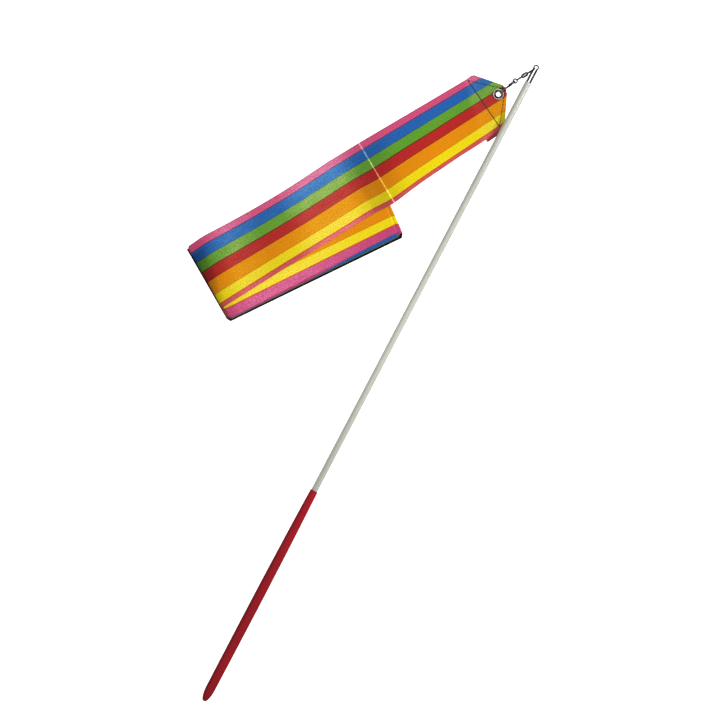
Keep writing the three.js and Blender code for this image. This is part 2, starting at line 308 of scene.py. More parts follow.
# The satin's pattern, painted sheen and painted shade, in units of ALONG_UNIT along the ribbon and of
# its width across.
GAIN_TOP = 2.0
WANDER_SCALE = 9.0
WANDER = 0.006
DRIFT_SCALE = 4.0
DRIFT = 0.03
SHEEN_SLANT = 0.035
PATCH_SCALE = 11.0
GRAIN_SCALE = 105.0
GRAIN_CONTRAST = 3.4
WEFT_SCALE = 95.0
WEFT_RELIEF = 0.4
CLOTH_RELIEF = 0.0001
# A painted highlight along the crease line: its half-width, the scale of its breaks and how much it
# brightens.
CREASE_LINE = 0.0045
CREASE_HIGHLIGHT_SCALE = 24.0
CREASE_GLOSS = 1.7
# A painted shadow on the top strip just before the crease: where its slanted edge lies, its slant, its
# depth and from which share of the width it shows.
SHADOW_STEP_SHARE = 0.885
SHADOW_STEP_SLANT = 0.012
SHADOW_STEP_SHADE = -0.1
SHADOW_STEP_FROM = 0.6
# How strongly the painted shading along the ribbon shows at each share of its width.
FOLD_SHADE = [(0.0, 0.35), (0.1, 0.5), (0.16, 1.0), (0.55, 1.0), (0.75, 0.85), (1.0, 0.85)]

# Each woven colour, as display values, in plain light and with the painted sheen where the satin shines.
PINK = ((206, 76, 118), (226, 130, 166))
PURPLE_LINE = ((78, 42, 92), (120, 82, 142))
BLUE = ((34, 95, 172), (78, 137, 196))
TEAL_LINE = ((30, 82, 84), (84, 132, 112))
BRICK_LINE = ((150, 46, 24), (176, 80, 44))
GREEN = ((93, 156, 41), (152, 187, 93))
BROWN_LINE = ((92, 44, 22), (140, 80, 50))
RED = ((182, 37, 34), (192, 68, 61))
RUST_LINE = ((200, 74, 34), (214, 100, 60))
ORANGE = ((228, 138, 3), (234, 160, 24))
AMBER_LINE = ((206, 132, 5), (222, 158, 24))
YELLOW = ((238, 216, 10), (249, 224, 68))
CORAL = ((202, 82, 88), (234, 116, 122))
ROSE = ((200, 60, 84), (218, 84, 108))
DEEP_PINK = ((198, 66, 116), (222, 112, 158))
# Painted shadow between the lower layers' edges.
SHADOW_BLACK = ((16, 19, 18), (26, 30, 28))
# A lower layer's near edge, painted a dull grey-green as it shows dimly lit between those shadows.
MOSS = ((78, 100, 86), (120, 140, 120))

# Share of the ribbon's width, from its pink edge, where each woven stripe begins.
STRIPES = [
    (0.0, PINK),
    (0.098, PURPLE_LINE),
    (0.110, BLUE),
    (0.259, TEAL_LINE),
    (0.269, GREEN),
    (0.413, BROWN_LINE),
    (0.426, RED),
    (0.574, BRICK_LINE),
    (0.585, ORANGE),
    (0.774, AMBER_LINE),
    (0.786, YELLOW),
    (0.925, RUST_LINE),
    (0.939, CORAL),
]

# The second layer shows a broader pink edge below the yellow and the third a blue edge; the fourth has a
# painted dim grey-green edge and the pack a painted shadow along its near edge.
FOLDED_EDGE = [(0.741, AMBER_LINE), (0.751, YELLOW), (0.875, RUST_LINE), (0.889, DEEP_PINK)]
FOLDED_STRIPES = STRIPES[:-4] + FOLDED_EDGE
EDGE_STRIPES = STRIPES[:-2] + [(0.925, DEEP_PINK), (0.965, BLUE)]
INNER_STRIPES = STRIPES + [(0.965, MOSS)]
PACK_STRIPES = STRIPES + [(0.955, SHADOW_BLACK)]
FLAP_STRIPES = STRIPES[:-1] + [(0.939, ROSE)]

SATIN_LOOK = {"Roughness": 0.5, "Specular_IOR_Level": 0.08, "Sheen_Weight": 0.04, "Sheen_Roughness": 0.4}


def satin(name, along_span, painted_shade_stops, painted_sheen_stops, stripes=STRIPES, crease_at=None, shadow_step_at=None):
    """Striped satin: U is the distance along the ribbon, V the share of its width."""
    material, nodes, shader = surface(name, **SATIN_LOOK)
    coordinates = nodes.new("ShaderNodeUVMap", uv_map="ribbon").outputs["UV"]
    along, across = nodes.split(coordinates)[:2]

    wander = nodes.times(nodes.noise(coordinates, WANDER_SCALE, 3.0), WANDER)
    place = nodes.math("ADD", nodes.math("ADD", across, wander), -WANDER / 2)
    weave, gloss = [
        nodes.ramp(place, [(at, linear(*colours[light])) for at, colours in stripes], "CONSTANT")
        for light in (0, 1)
    ]

    share = nodes.math("DIVIDE", along, along_span)
    slant = nodes.times(nodes.math("SUBTRACT", across, 0.5), SHEEN_SLANT)
    clouds = nodes.math("SUBTRACT", nodes.noise(coordinates, DRIFT_SCALE, 1.0), 0.5)
    drift = nodes.times(clouds, DRIFT)
    share = nodes.math("ADD", share, nodes.math("ADD", slant, drift))
    # Painted shade and painted sheen along the ribbon, their bands slanted across the width and drifting
    # a little.
    painted_shade = nodes.ramp(share, greys((at, value / GAIN_TOP) for at, value in painted_shade_stops))
    painted_sheen = nodes.ramp(share, greys(painted_sheen_stops))
    # The painted sheen breaks up into patches.
    patches = nodes.times_add(nodes.noise(coordinates, PATCH_SCALE), 1.5, 0.25)
    painted_sheen = nodes.times(painted_sheen, patches)
    # On the top strip the painted shade is weaker towards the pink edge and a little weaker on the
    # yellow side.
    if crease_at is not None:
        depth = nodes.ramp(across, greys(FOLD_SHADE))
        painted_shade = nodes.mix(depth, grey(1.0 / GAIN_TOP), painted_shade)

    grain = nodes.noise(nodes.stretch(coordinates, (1.0, 0.5, 1.0)), GRAIN_SCALE)
    speckle = nodes.times(nodes.math("SUBTRACT", grain, 0.5), GRAIN_CONTRAST)
    weft = nodes.new("ShaderNodeTexWave", wave_type="BANDS", bands_direction="X")
    nodes.feed(weft.inputs["Scale"], WEFT_SCALE)
    nodes.feed(weft.inputs["Distortion"], 1.2)
    nodes.link(coordinates, weft.inputs["Vector"])

    # The grain's speckle shows more where the painted sheen is, and the painted sheen mixes the shining
    # colours into the woven ones.
    sparkle = nodes.times_add(painted_sheen, 0.45, 0.2)
    shine = nodes.times_add(speckle, sparkle, nodes.times(painted_sheen, 0.85))
    colour = nodes.mix(shine, weave, gloss)
    glitter = nodes.times_add(painted_sheen, 0.14, 0.17)
    tone = nodes.times_add(speckle, glitter, 1.0)
    light = nodes.times(nodes.times(painted_shade, GAIN_TOP), tone)
    # A painted shadow from a slanted edge up to the crease, on the orange and yellow side of the width.
    if shadow_step_at is not None:
        step = nodes.times_add(across, SHADOW_STEP_SLANT, shadow_step_at)
        beyond = nodes.math("GREATER_THAN", along, step)
        before_crease = nodes.math("LESS_THAN", along, crease_at)
        low_side = nodes.math("GREATER_THAN", across, SHADOW_STEP_FROM)
        shaded = nodes.times(nodes.times(beyond, before_crease), low_side)
        light = nodes.times(light, nodes.times_add(shaded, SHADOW_STEP_SHADE, 1.0))
    colour = nodes.tint(colour, light)
    # A painted highlight along the crease line, pale yellow over the shining colours and broken in
    # places.
    if crease_at is not None:
        offset = nodes.math("ABSOLUTE", nodes.math("SUBTRACT", along, crease_at))
        wear_and_crease_highlight = nodes.math("LESS_THAN", offset, CREASE_LINE)
        highlight_breaks = nodes.times_add(nodes.noise(coordinates, CREASE_HIGHLIGHT_SCALE), 2.4, -0.55)
        bright = nodes.tint(gloss, grey(CREASE_GLOSS))
        pale = nodes.mix(0.2, bright, linear(255, 252, 170))
        colour = nodes.mix(nodes.times(wear_and_crease_highlight, highlight_breaks), colour, pale)
    relief = nodes.math("ADD", nodes.times(weft.outputs["Fac"], WEFT_RELIEF), grain)
    nodes.paint(shader, Base_Color=colour, Normal=nodes.bump(relief, 0.3, CLOTH_RELIEF))
    return material


NICKEL_TINT = (1.0, 0.985, 0.96, 1.0)
# Painted reflection: how bright the plate is painted where it faces the eye, falling towards its
# outline.
WIRE_SHADES = [(0.0, 0.11), (0.05, 0.08), (0.16, 0.035), (0.5, 0.01)]
SNAP_SHADES = [(0.0, 0.4), (0.12, 0.26), (0.3, 0.08), (0.5, 0.03)]
BARREL_SHADES = [(0.0, 0.85), (0.04, 0.45), (0.12, 0.06), (0.5, 0.01)]
EYELET_SHADES = [(0.0, 0.98), (0.1, 0.9), (0.2, 0.1), (0.4, 0.008)]
# Painted side light: the side painted as catching the light, and the painted shade from the far side to
# the lit one.
LIT_SIDE = (-0.466, 0.885, 0.0)
SIDE_SHADES = [(0.25, 0.08), (0.44, 0.4), (0.52, 1.0), (0.65, 0.5), (0.8, 0.25)]


def polished_nickel(name, shades):
    """Plate with a painted reflection, bright where it faces the eye and falling to black towards its
    outline as on polished round metal, and painted lighter on one side.
    """
    material, nodes, shader = surface(name, Metallic=1.0, Roughness=0.16)
    # Painted reflection, darkening towards the outline.
    rim = facing_ramp(nodes, 0.5, shades)
    place = object_place(nodes)
    stain = nodes.ramp(nodes.noise(place, 900.0, 4.0), greys([(0.35, 0.7), (0.6, 1.0)]))
    # Painted side light, from the way each surface faces.
    facing_way = nodes.new("ShaderNodeNewGeometry").outputs["Normal"]
    side = nodes.new("ShaderNodeVectorMath", operation="DOT_PRODUCT")
    nodes.link(facing_way, side.inputs[0])
    side.inputs[1].default_value = LIT_SIDE
    lean = nodes.times_add(side.outputs["Value"], 0.5, 0.5)
    rim = nodes.tint(rim, nodes.ramp(lean, greys(SIDE_SHADES)))
    colour = nodes.tint(nodes.tint(rim, stain), NICKEL_TINT)
    scratches = nodes.noise(place, 5200.0, 3.0)
    wear_and_crease_highlight, relief = nodes.times_add(scratches, 0.14, 0.08), nodes.bump(scratches, 0.12, 0.00002)
    nodes.paint(shader, Base_Color=colour, Roughness=wear_and_crease_highlight, Normal=relief)
    return material


def fibreglass():
    material, nodes, shader = surface("fibreglass", Coat_Weight=0.3, Coat_Roughness=0.12)
    place = object_place(nodes)
    fibres = nodes.noise(nodes.stretch(place, (0.02, 1.0, 1.0)), 2600.0, 4.0)
    mottle = nodes.noise(place, 60.0, 3.0)
    base = nodes.mix(fibres, linear(176, 178, 167), linear(203, 205, 194))
    base = nodes.mix(nodes.times(mottle, 0.25), base, linear(186, 184, 168))
    # Painted shade: slightly darker towards the rod's outline.
    rim = facing_ramp(nodes, 0.35, [(0.5, 1.0), (0.95, 0.96)])
    # Painted highlight: the rod is painted lighter over most of its length, most near its middle.
    tone = along_ramp(nodes, place, WAND_LENGTH, [(0.36, 1.13), (0.56, 1.22), (0.7, 1.12), (0.84, 1.0)])
    colour = nodes.tint(nodes.tint(base, tone), rim)
    rough, relief = nodes.times_add(fibres, 0.15, 0.3), nodes.bump(fibres, 0.15, 0.00004)
    nodes.paint(shader, Base_Color=colour, Roughness=rough, Normal=relief)
    return material


def grip_vinyl():
    look = {"Coat_Weight": 0.04, "Coat_Roughness": 0.3, "Specular_IOR_Level": 0.12}
    material, nodes, shader = surface("grip_vinyl", **look)
    place = object_place(nodes)
    cloud = nodes.noise(place, 45.0, 3.0)
    pores = nodes.noise(place, 2400.0, 3.0)
    base = nodes.mix(cloud, linear(136, 12, 24), linear(156, 18, 30))
    # Painted shade: darker towards the grip's outline.
    rim = facing_ramp(nodes, 0.35, [(0.2, 1.0), (0.9, 0.6)])
    tone = along_ramp(nodes, place, GRIP_LENGTH, [(0.0, 0.86), (0.5, 0.94), (0.85, 1.1), (1.0, 1.2)])
    colour = nodes.tint(nodes.tint(base, rim), tone)
    rough, relief = nodes.times_add(pores, 0.2, 0.3), nodes.bump(pores, 0.25, 0.00005)
    nodes.paint(shader, Base_Color=colour, Roughness=rough, Normal=relief)
    return material


def resin_filler():
    material, nodes, shader = surface("resin_filler", Roughness=0.6)
    grain = nodes.noise(object_place(nodes), 1800.0, 4.0)
    colour = nodes.mix(grain, linear(205, 205, 198), linear(240, 240, 236))
    nodes.paint(shader, Base_Color=colour, Normal=nodes.bump(grain, 0.5, 0.0001))
    return material


def sewing_thread():
    material, nodes, shader = surface("sewing_thread", Roughness=0.8)
    twist = nodes.new("ShaderNodeTexWave", wave_type="BANDS", bands_direction="DIAGONAL")
    nodes.feed(twist.inputs["Scale"], 900.0)
    nodes.link(object_place(nodes), twist.inputs["Vector"])
    colour = nodes.mix(twist.outputs["Fac"], linear(22, 28, 22), linear(58, 60, 50))
    nodes.paint(shader, Base_Color=colour, Normal=nodes.bump(twist.outputs["Fac"], 0.6, 0.00006))
    return material


# --- mesh helpers ---


def new_object(name, vertices, faces, material, smooth=True):
    mesh = bpy.data.meshes.new(name)
    mesh.from_pydata([tuple(v) for v in vertices], [], faces)
    mesh.update()
    thing = bpy.data.objects.new(name, mesh)
    bpy.context.scene.collection.objects.link(thing)
    mesh.materials.append(material)
    if smooth:
        mesh.polygons.foreach_set("use_smooth", [True] * len(mesh.polygons))
    return thing


def finish_piece(thing, body, node):
    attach(thing, body)
    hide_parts(node)


def place_frame(origin, along, up=(0.0, 0.0, 1.0)):
    """A matrix whose X runs along a direction, with Z as near as possible to up."""
    x = Vector(along).normalized()
    y = Vector(up).cross(x).normalized()
    z = x.cross(y)
    return Matrix.Translation(Vector(origin)) @ Matrix((x, y, z)).transposed().to_4x4()


@contextmanager
def edited(thing):
    """Gives the piece's mesh for editing, and puts it back."""
    mesh = bmesh.new()
    mesh.from_mesh(thing.data)
    yield mesh
    mesh.to_mesh(thing.data)
    mesh.free()


def quads(rows, width, ring=False, loop=False, flip=False):
    """Faces between rows of points; ring closes each row, loop joins the last row to the first."""
    faces = []
    for row in range(rows if loop else rows - 1):
        a, b = row * width, (row + 1) % rows * width
        for step in range(width if ring else width - 1):
            after = (step + 1) % width
            if flip:
                faces.append((a + step, a + after, b + after, b + step))
            else:
                faces.append((a + step, b + step, b + after, a + after))
    return faces


def lathe(name, profile, matrix, material, steps=ROUND_STEPS, closed=False):
    """Turns [radius, x] points, in millimetres, about the local X axis."""
    vertices = []
    for radius, x in profile:
        for step in range(steps):
            angle = 2 * math.pi * step / steps
            point = Vector((x, radius * math.cos(angle), radius * math.sin(angle))) * MM
            vertices.append(matrix @ point)
    faces = quads(len(profile), steps, ring=True, loop=closed)
    thing = new_object(name, vertices, faces, material)
    with edited(thing) as mesh:
        bmesh.ops.remove_doubles(mesh, verts=mesh.verts, dist=MM * 1e-4)
        bmesh.ops.recalc_face_normals(mesh, faces=mesh.faces)
    return thing


def arc(centre_radius, centre_x, bend, start, end, steps=6):
    """[radius, x] points on a round corner, angles in degrees from the +X side."""
    points = []
    for step in range(steps + 1):
        angle = math.radians(start + (end - start) * step / steps)
        points.append((centre_radius + bend * math.sin(angle), centre_x + bend * math.cos(angle)))
    return points


def rounded_path(points, bend, steps):
    """A polyline with its inner corners rounded by curves."""
    path = [points[0].copy()]
    for previous, corner, following in zip(points, points[1:], points[2:]):
        before = corner + (previous - corner).normalized() * bend
        after = corner + (following - corner).normalized() * bend
        for t in shares(steps):
            path.append(before * (1 - t) ** 2 + corner * 2 * t * (1 - t) + after * t**2)
    return path + [points[-1].copy()]


def wire(name, path, gauge, material, closed=False, sides=16):
    """A round wire along points in metres, its ends domed; gauge is one radius or one per point."""
    vertices = []
    count = len(path)
    radii = gauge if isinstance(gauge, list) else [gauge] * count
    normal = None
    for index, point in enumerate(path):
        ahead = path[(index + 1) % count] if closed or index < count - 1 else point
        behind = path[index - 1] if closed or index > 0 else point
        tangent = (ahead - behind).normalized()
        if normal is None:
            helper = Vector((0, 0, 1)) if abs(tangent.z) < 0.9 else Vector((1, 0, 0))
            normal = tangent.cross(helper).normalized()
        normal = (normal - tangent * normal.dot(tangent)).normalized()
        side = tangent.cross(normal)
        for step in range(sides):
            angle = 2 * math.pi * step / sides
            ring = normal * math.cos(angle) + side * math.sin(angle)
            vertices.append(point + ring * radii[index] * MM)
    faces = quads(count, sides, ring=True, loop=closed, flip=True)
    if not closed:
        ends = [(0, path[0], path[1], True), ((count - 1) * sides, path[-1], path[-2], False)]
        for start, centre, inner, first in ends:
            vertices.append(centre + (centre - inner).normalized() * radii[0] * WIRE_DOME * MM)
            cap = len(vertices) - 1
            for step in range(sides):
                here, after = start + step, start + (step + 1) % sides
                faces.append((cap, after, here) if first else (cap, here, after))
    return new_object(name, vertices, faces, material)


def join(name, *things):
    bpy.ops.object.select_all(action="DESELECT")
    for thing in things:
        thing.select_set(True)
    bpy.context.view_layer.objects.active = things[0]
    bpy.ops.object.join()
    things[0].name = name
    return things[0]


def shares(steps, first=0):
    """Evenly spaced shares up to 1."""
    return [step / steps for step in range(first, steps + 1)]


def smoothstep(value, low, high):
    t = min(1.0, max(0.0, (value - low) / (high - low)))
    return t * t * (3 - 2 * t)


def apply_modifiers(thing):
    bpy.context.view_layer.objects.active = thing
    for modifier in list(thing.modifiers):
        bpy.ops.object.modifier_apply(modifier=modifier.name)


# --- places taken from the frame ---


def plan_corners(node):
    """Corners of a CAD plate seen from above, in millimetres, anticlockwise."""
    vertices = frame["nodes"][node].data.vertices
    points = sorted({(round(v.co.x / MM, 3), round(v.co.y / MM, 3)) for v in vertices})

    def half(ordered):
        chain = []
        for x, y in ordered:
            while len(chain) > 1:
                (ax, ay), (bx, by) = chain[-2], chain[-1]
                if (bx - ax) * (y - ay) - (by - ay) * (x - ax) > 0.05:
                    break
                chain.pop()
            chain.append((x, y))
        return chain[:-1]

    return half(points) + half(points[::-1])


def middle(node):
    low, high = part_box(node)
    return (low + high) / 2


def pair_ends(node):
    """Far and near corners at the low-x and at the high-x end of a four-cornered sheet."""
    corners = sorted(plan_corners(node))
    low = sorted(corners[:2], key=lambda point: -point[1])
    high = sorted(corners[-2:], key=lambda point: -point[1])
    return [Vector(point) for point in low + high]


fold_far, fold_near, crease_far, crease_near = pair_ends("ribbon_front")
stack_far, stack_near, turn_far, turn_near = pair_ends("ribbon_layer_2")
fold_line = (fold_far - fold_near).normalized()
fold_far, fold_near = fold_far + fold_line * FOLD_RISE, fold_near + fold_line * FOLD_RISE
stack_near = stack_near - fold_line * STACK_DROP
head_corners = [Vector(point) for point in sorted(plan_corners("ribbon_head"))]
seam_near, head_near, seam_far, head_far, head_point = head_corners
head_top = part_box("ribbon_head")[1].z / MM
eyelet_centre = middle("eyelet")
table_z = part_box("ribbon_pack")[0].z / MM
front_z = middle("ribbon_front").z / MM
head_z = middle("ribbon_head").z / MM
layer_z = {number: middle(f"ribbon_layer_{number}").z / MM for number in LAYER_INSETS}
pack_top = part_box("ribbon_pack")[1].z / MM


# --- wand and tackle ---


def rod_piece(radius, rod_start, rod_end, material):
    profile = [(0.0, rod_start), (radius, rod_start)]
    profile += arc(radius - ROD_EDGE, rod_end - ROD_EDGE, ROD_EDGE, 90, 0)
    socket_floor = rod_end - SOCKET_DEPTH
    profile += [(ROD_SOCKET, rod_end), (ROD_SOCKET, socket_floor), (0.0, socket_floor)]
    rod = lathe("rod", profile, Matrix.Identity(4), material)
    finish_piece(rod, "wand", "fibreglass_rod")


def grip_piece(rod_radius, material):
    """A sleeve with a rounded butt, swelling to its widest and thinning towards the rod."""
    grip_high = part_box("grip_sleeve")[1]
    length, widest = grip_high.x / MM, grip_high.z / MM + GRIP_SKIN
    butt, top = GRIP_BUTT + GRIP_SKIN, GRIP_TOP + GRIP_SKIN
    shoulder = length - GRIP_LIP
    profile = [(0.0, 0.0), (GRIP_BUTT_FLAT * 0.8, 0.0)]
    for t in [share**1.6 for share in shares(24, 1)]:
        dome = (1 - (1 - t) ** 2.6) ** 0.66
        profile.append((GRIP_BUTT_FLAT + (butt - GRIP_BUTT_FLAT) * dome, GRIP_NOSE * t))
    for t in shares(12, 1):
        x = GRIP_NOSE + (GRIP_SWELL_AT - GRIP_NOSE) * t
        profile.append((butt + (widest - butt) * math.sin(t * math.pi / 2), x))
    for t in shares(24, 1):
        x = GRIP_SWELL_AT + (shoulder - GRIP_SWELL_AT) * t
        profile.append((top + (widest - top) * (1 - t**2.2), x))
    profile += arc(top - GRIP_LIP, shoulder, GRIP_LIP, 80, 0)
    bore = rod_radius - 0.1
    profile += [(bore, length), (bore, length - GRIP_BORE_DEPTH)]
    grip = lathe("grip", profile, Matrix.Identity(4), material)
    finish_piece(grip, "wand", "grip_sleeve")


def pin_piece(material):
    """A wire bent to a round loop, its two legs going back into the rod."""
    pin_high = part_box("tip_pin")[1]
    gauge = pin_high.z / MM
    radius = pin_high.y / MM - gauge
    head_x = pin_high.x / MM - gauge - radius
    start = math.acos(-math.sqrt(radius**2 - PIN_LEG_OFFSET**2) / radius)
    bends = [head_x - back for back in (3, 2.6, 2.2, 1.8, 1.5)]
    leg = [Vector((x, PIN_LEG_OFFSET, 0)) for x in [PIN_FOOT] + bends]
    path = list(leg)
    for step in range(25):
        angle = start * (1 - step / 12)
        path.append(Vector((head_x + radius * math.cos(angle), radius * math.sin(angle), 0)))
    path += [Vector((point.x, -PIN_LEG_OFFSET, 0)) for point in reversed(leg)]

    def leg_share(x):
        return smoothstep(head_x - x, 0.0, PIN_NECK)

    gauges = [PIN_HEAD_WIRE + (PIN_LEG_WIRE - PIN_HEAD_WIRE) * leg_share(point.x) for point in path]
    pin = wire("pin", [point * MM for point in path], gauges, material)
    for vertex in pin.data.vertices:
        vertex.co.z *= 1 - (1 - PIN_FLATNESS) * leg_share(vertex.co.x / MM)
    finish_piece(pin, "wand", "tip_pin")


def plug_piece(rod_end, material):
    side, floor = ROD_SOCKET - 0.02, rod_end - PLUG_DEPTH
    profile = [(0.0, floor), (side, floor), (side, rod_end - 0.25)]
    profile += [(ROD_SOCKET * 0.7, rod_end - 0.08), (0.0, rod_end - 0.05)]
    plug = lathe("plug", profile, Matrix.Identity(4), material)
    finish_piece(plug, "wand", "tip_plug")


def wand_pieces(materials):
    rod_low, rod_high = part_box("fibreglass_rod")
    rod_radius, rod_end = rod_high.z / MM + ROD_PAINT, rod_high.x / MM
    rod_piece(rod_radius, rod_low.x / MM, rod_end, materials["fibreglass"])
    grip_piece(rod_radius, materials["grip"])
    pin_piece(materials["nickel"])
    plug_piece(rod_end, materials["filler"])


def twisted_neck(name, matrix, start, end, material):
    """Two wires wound round each other between the eye and the barrel."""
    strands = []
    for turn in (0.0, math.pi):
        path = []
        for t in shares(40):
            angle = turn + t * (end - start) * NECK_TWIST
            y, z = NECK_STRAND * math.cos(angle), NECK_STRAND * math.sin(angle)
            path.append(matrix @ (Vector((start + (end - start) * t, y, z)) * MM))
        strands.append(wire(name, path, NECK_STRAND * 0.96, material, sides=10))
    return join(name, *strands)


def ring_path(matrix, centre_x, radius, upright):
    """A circle, standing up or lying flat, about a point on the swivel's axis."""
    path = []
    for step in range(ROUND_STEPS):
        angle = 2 * math.pi * step / ROUND_STEPS
        side = radius * math.sin(angle)
        local = (centre_x + radius * math.cos(angle), 0.0 if upright else side, side if upright else 0.0)
        path.append(matrix @ (Vector(local) * MM))
    return path


def swivel_pieces(materials):
    nickel = materials["nickel"]
    joint = joints["barrel_spin"]
    along = -Vector(joint["axis"])
    matrix = place_frame(joint["pos_m"], along)
    tail = Vector(joints["snap_yaw"]["pos_m"])
    length = along.dot(tail - Vector(joint["pos_m"])) / MM - EYE_SETBACK

    def eye(name, centre_x, radius, gauge, upright, neck_start, neck_end):
        path = ring_path(matrix, centre_x, radius, upright)
        ring = wire(name, path, gauge, nickel, closed=True)
        neck = twisted_neck(name, matrix, neck_start, neck_end, nickel)
        finish_piece(join(name, ring, neck), name, f"swivel_{name}")

    eye("rod_eye", 0.0, ROD_RING, ROD_RING_WIRE, True, 1.7, BARREL_START + NECK_OVERLAP)
    neck_start = BARREL_END - NECK_OVERLAP
    eye("ribbon_eye", length, RIBBON_RING, RIBBON_RING_WIRE, False, neck_start, length - 1.6)

    end_radius = BARREL_WIDE * BARREL_END_SHARE - BARREL_EDGE
    profile = [(BARREL_BORE, BARREL_START + BARREL_BORE_DEPTH), (BARREL_BORE, BARREL_START)]
    profile += arc(end_radius, BARREL_START + BARREL_EDGE, BARREL_EDGE, 180, 90)
    for t in shares(12):
        bulge = math.sin(math.pi * t) ** 0.45
        x = BARREL_START + 0.3 + (BARREL_END - BARREL_START - 0.6) * t
        profile.append((BARREL_WIDE * (0.66 + 0.34 * bulge), x))
    profile += arc(end_radius, BARREL_END - BARREL_EDGE, BARREL_EDGE, 90, 0)
    profile += [(BARREL_BORE, BARREL_END), (BARREL_BORE, BARREL_END - BARREL_BORE_DEPTH)]
    barrel = lathe("barrel", profile, matrix, materials["barrel"])
    finish_piece(barrel, "barrel", "swivel_barrel")


def snap_pieces(materials):
    nickel = materials["snap"]
    nose = Vector(joints["snap_open"]["pos_m"])
    tail = Vector(joints["snap_yaw"]["pos_m"])
    along = Vector((tail.x - nose.x, tail.y - nose.y, 0.0))
    length = along.length / MM
    matrix = place_frame((nose.x, nose.y, 0.0), along)
    top, hinge = SNAP_TOP, nose.z / MM

    def bent(name, points):
        path = [matrix @ (Vector((x, 0.0, z)) * MM) for x, z in points]
        return wire(name, rounded_path(path, SNAP_BEND * MM, 8), SNAP_WIRE, nickel)

    corners = [(length, top), (length, SNAP_FOOT), (0.0, SNAP_FOOT)]
    body = bent("snap_body", [(length - SNAP_WIRE_END, top)] + corners + [(0.0, hinge)])
    finish_piece(body, "snap", "snap_wire")
    arm = bent("snap_spring_arm", [(0.0, hinge - 0.05), (0.0, top), (length - SNAP_ARM_END, top)])
    finish_piece(arm, "snap_arm", "snap_arm")
    clasp_piece(matrix, nickel)


def clasp_piece(matrix, nickel):
    """A trough of bent sheet, open at the top, where the wire's end and the arm's end meet."""
    bend, rise = 0.35, 0.1
    outline = [(CLASP_HALF, CLASP_DEPTH), (CLASP_HALF, rise)]
    for step in range(1, 8):
        angle = math.radians(-90 * step / 8)
        y = CLASP_HALF - bend + bend * math.cos(angle)
        outline.append((y, rise - bend + bend * (1 + math.sin(angle))))
    outline.append((0.3, CLASP_FLOOR))
    outline += [(-y, z) for y, z in reversed(outline)]
    vertices = []
    stations = shares(14)
    for t in stations:
        pinch = 1.0 - 0.16 * smoothstep(t, 0.45, 0.75)
        mouth = 1.0 + 0.12 * (1 - smoothstep(t, 0.0, 0.15))
        for y, z in outline:
            local = Vector((CLASP_START + CLASP_LENGTH * t, y * pinch * mouth, z - 0.3))
            vertices.append(matrix @ (local * MM))
    faces = quads(len(stations), len(outline), flip=True)
    clasp = new_object("snap_clip", vertices, faces, nickel)
    solid = clasp.modifiers.new("sheet", "SOLIDIFY")
    solid.thickness = CLASP_SHEET * MM
    solid.offset = 0.0
    edge = clasp.modifiers.new("edge", "BEVEL")
    edge.width = 0.05 * MM
    edge.segments = 2
    apply_modifiers(clasp)
    finish_piece(clasp, "snap", "snap_clasp")


def eyelet_pieces(materials):
    matrix = place_frame((eyelet_centre.x, eyelet_centre.y, 0.0), (0, 0, 1), (1, 0, 0))
    low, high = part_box("eyelet")
    outer = (high.x - low.x) / 2 / MM
    seat, foot, crown = head_top + 0.02, low.z / MM, high.z / MM
    roll, lip = (crown - seat) / 2, 0.6
    profile = [(EYELET_TUBE, foot), (EYELET_TUBE, seat), (outer - roll, seat)]
    profile += arc(outer - roll, seat + roll, roll, 170, 20, 10)
    profile += [(outer - 1.3, crown - 0.06), (EYELET_HOLE + 0.75, crown - 0.1)]
    profile += arc(EYELET_HOLE + lip, crown - 0.1 - lip, lip, 0, -80, 8)
    profile += [(EYELET_HOLE - 0.08, crown - 0.9)]
    profile += [(EYELET_THROAT, foot + 0.2), (EYELET_THROAT + 0.1, foot)]
    ring = lathe("eyelet_rim", profile, matrix, materials["eyelet"], steps=64, closed=True)
    finish_piece(ring, "ribbon_lead", "eyelet")

    low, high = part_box("eyelet_washer")
    bottom, top = low.z / MM, high.z / MM
    bore = EYELET_TUBE + 0.06
    profile = [(bore, bottom + 0.05), (EYELET_TUBE + 0.2, bottom), (outer - 0.35, bottom)]
    profile += arc(outer - 0.2, (bottom + top) / 2, (top - bottom) / 2, 170, 10, 6)
    profile += [(bore, top)]
    washer = lathe("eyelet_back_ring", profile, matrix, materials["eyelet"], steps=64, closed=True)
    finish_piece(washer, "ribbon_lead", "eyelet_washer")


# --- ribbon ---

RIBBON_WIDTH = (fold_far - fold_near).length
stack_length = ((stack_far + stack_near) / 2 - (turn_far + turn_near) / 2).length
crease_middle = (crease_far + crease_near) / 2
front_length = ((fold_far + fold_near) / 2 - crease_middle).length
lead_end = (head_far + seam_near) / 2
seam_middle = (seam_near + seam_far) / 2
lead_length = (crease_middle - lead_end).length
lead_axis = (lead_end - crease_middle).normalized()
rightward = (turn_far - stack_far).normalized()


def cloth_grid(name, columns, rows, place, material, thickness=CLOTH):
    """A cloth sheet: place(s, v) gives (x, y, z, along, across) for shares s and v of its sides."""
    vertices, uvs = [], []
    for column in range(columns + 1):
        for row in range(rows + 1):
            v = row / rows
            x, y, z, along, across = place(column / columns, v)
            vertices.append(Vector((x, y, z)) * MM)
            uvs.append((along / ALONG_UNIT, across))
    thing = new_object(name, vertices, quads(columns + 1, rows + 1), material)
    layer = thing.data.uv_layers.new(name="ribbon")
    for loop in thing.data.loops:
        layer.data[loop.index].uv = uvs[loop.vertex_index]
    solid = thing.modifiers.new("cloth", "SOLIDIFY")
    solid.thickness = thickness * MM
    solid.offset = 0.0
    return thing


